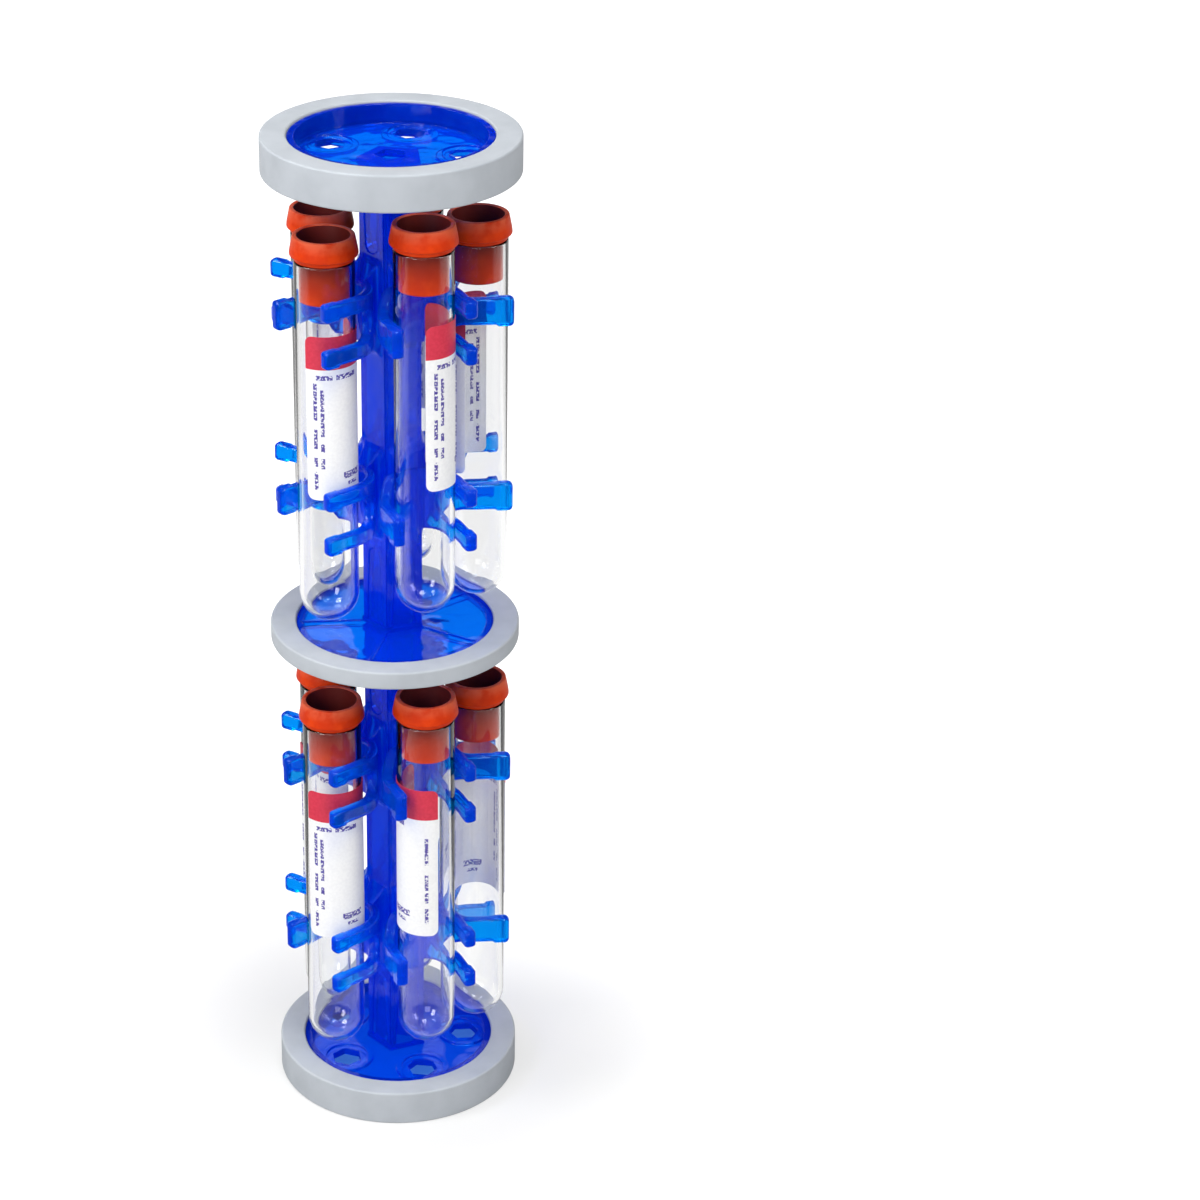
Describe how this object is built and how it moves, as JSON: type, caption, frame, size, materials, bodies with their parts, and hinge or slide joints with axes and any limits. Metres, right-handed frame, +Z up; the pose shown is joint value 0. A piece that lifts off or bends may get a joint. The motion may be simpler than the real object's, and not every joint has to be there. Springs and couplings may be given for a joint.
{
  "type": "tube roller rack",
  "caption": "Round rack of translucent plastic with clips that hold stoppered sample tubes around a hollow column between rubber-tyred plates, to stand or to turn on a roller mixer.",
  "frame": {"origin": "centre of the standing face, on the rack's axis", "axes": "+Z up along the column, -Y out through the first tube of each tier"},
  "size_m": [0.068, 0.068, 0.282],
  "materials": {
    "blue_plastic": "clear blue moulded plastic, glossy",
    "grey_rubber": "matte pale grey rubber",
    "tube_glass": "clear glass",
    "rust_rubber": "matte rust rubber",
    "label_paper": "coated paper"
  },
  "bodies": {
    "rack": {"bottom_plate": "blue_plastic", "middle_plate": "blue_plastic", "top_plate": "blue_plastic", "bottom_hub": "blue_plastic", "middle_lower_hub": "blue_plastic", "middle_upper_hub": "blue_plastic", "top_hub": "blue_plastic", "bottom_tyre": "grey_rubber", "middle_tyre": "grey_rubber", "top_tyre": "grey_rubber", "lower_panel_1": "blue_plastic", "lower_panel_2": "blue_plastic", "lower_panel_3": "blue_plastic", "lower_panel_4": "blue_plastic", "lower_panel_5": "blue_plastic", "upper_panel_1": "blue_plastic", "upper_panel_2": "blue_plastic", "upper_panel_3": "blue_plastic", "upper_panel_4": "blue_plastic", "upper_panel_5": "blue_plastic"},
    "lower_tube_1": {"lower_tube_1": "tube_glass", "lower_label_1": "label_paper"},
    "lower_stopper_1": {"lower_stopper_1": "rust_rubber"},
    "lower_tube_2": {"lower_tube_2": "tube_glass", "lower_label_2": "label_paper"},
    "lower_stopper_2": {"lower_stopper_2": "rust_rubber"},
    "lower_tube_3": {"lower_tube_3": "tube_glass", "lower_label_3": "label_paper"},
    "lower_stopper_3": {"lower_stopper_3": "rust_rubber"},
    "lower_tube_4": {"lower_tube_4": "tube_glass", "lower_label_4": "label_paper"},
    "lower_stopper_4": {"lower_stopper_4": "rust_rubber"},
    "lower_tube_5": {"lower_tube_5": "tube_glass", "lower_label_5": "label_paper"},
    "lower_stopper_5": {"lower_stopper_5": "rust_rubber"},
    "upper_tube_1": {"upper_tube_1": "tube_glass", "upper_label_1": "label_paper"},
    "upper_stopper_1": {"upper_stopper_1": "rust_rubber"},
    "upper_tube_2": {"upper_tube_2": "tube_glass", "upper_label_2": "label_paper"},
    "upper_stopper_2": {"upper_stopper_2": "rust_rubber"},
    "upper_tube_3": {"upper_tube_3": "tube_glass", "upper_label_3": "label_paper"},
    "upper_stopper_3": {"upper_stopper_3": "rust_rubber"},
    "upper_tube_4": {"upper_tube_4": "tube_glass", "upper_label_4": "label_paper"},
    "upper_stopper_4": {"upper_stopper_4": "rust_rubber"},
    "upper_tube_5": {"upper_tube_5": "tube_glass", "upper_label_5": "label_paper"},
    "upper_stopper_5": {"upper_stopper_5": "rust_rubber"}
  },
  "joints": [
    {"name": "lower_tube_1_snap", "type": "slide", "parent": "rack", "child": "lower_tube_1", "axis": [0, -1, 0], "range_m": [0, 0.04]},
    {"name": "lower_stopper_1_pull", "type": "slide", "parent": "lower_tube_1", "child": "lower_stopper_1", "axis": [0, 0, 1], "range_m": [0, 0.0079]},
    {"name": "lower_tube_2_snap", "type": "slide", "parent": "rack", "child": "lower_tube_2", "axis": [0.9511, -0.309, 0], "range_m": [0, 0.04]},
    {"name": "lower_stopper_2_pull", "type": "slide", "parent": "lower_tube_2", "child": "lower_stopper_2", "axis": [0, 0, 1], "range_m": [0, 0.012]},
    {"name": "lower_tube_3_snap", "type": "slide", "parent": "rack", "child": "lower_tube_3", "axis": [0.5878, 0.809, 0], "range_m": [0, 0.04]},
    {"name": "lower_stopper_3_pull", "type": "slide", "parent": "lower_tube_3", "child": "lower_stopper_3", "axis": [0, 0, 1], "range_m": [0, 0.0114]},
    {"name": "lower_tube_4_snap", "type": "slide", "parent": "rack", "child": "lower_tube_4", "axis": [-0.5878, 0.809, 0], "range_m": [0, 0.04]},
    {"name": "lower_stopper_4_pull", "type": "slide", "parent": "lower_tube_4", "child": "lower_stopper_4", "axis": [0, 0, 1], "range_m": [0, 0.012]},
    {"name": "lower_tube_5_snap", "type": "slide", "parent": "rack", "child": "lower_tube_5", "axis": [-0.9511, -0.309, 0], "range_m": [0, 0.04]},
    {"name": "lower_stopper_5_pull", "type": "slide", "parent": "lower_tube_5", "child": "lower_stopper_5", "axis": [0, 0, 1], "range_m": [0, 0.012]},
    {"name": "upper_tube_1_snap", "type": "slide", "parent": "rack", "child": "upper_tube_1", "axis": [0, -1, 0], "range_m": [0, 0.04]},
    {"name": "upper_stopper_1_pull", "type": "slide", "parent": "upper_tube_1", "child": "upper_stopper_1", "axis": [0, 0, 1], "range_m": [0, 0.0065]},
    {"name": "upper_tube_2_snap", "type": "slide", "parent": "rack", "child": "upper_tube_2", "axis": [0.9511, -0.309, 0], "range_m": [0, 0.04]},
    {"name": "upper_stopper_2_pull", "type": "slide", "parent": "upper_tube_2", "child": "upper_stopper_2", "axis": [0, 0, 1], "range_m": [0, 0.0118]},
    {"name": "upper_tube_3_snap", "type": "slide", "parent": "rack", "child": "upper_tube_3", "axis": [0.5878, 0.809, 0], "range_m": [0, 0.04]},
    {"name": "upper_stopper_3_pull", "type": "slide", "parent": "upper_tube_3", "child": "upper_stopper_3", "axis": [0, 0, 1], "range_m": [0, 0.0109]},
    {"name": "upper_tube_4_snap", "type": "slide", "parent": "rack", "child": "upper_tube_4", "axis": [-0.5878, 0.809, 0], "range_m": [0, 0.04]},
    {"name": "upper_stopper_4_pull", "type": "slide", "parent": "upper_tube_4", "child": "upper_stopper_4", "axis": [0, 0, 1], "range_m": [0, 0.012]},
    {"name": "upper_tube_5_snap", "type": "slide", "parent": "rack", "child": "upper_tube_5", "axis": [-0.9511, -0.309, 0], "range_m": [0, 0.04]},
    {"name": "upper_stopper_5_pull", "type": "slide", "parent": "upper_tube_5", "child": "upper_stopper_5", "axis": [0, 0, 1], "range_m": [0, 0.0118]}
  ]
}
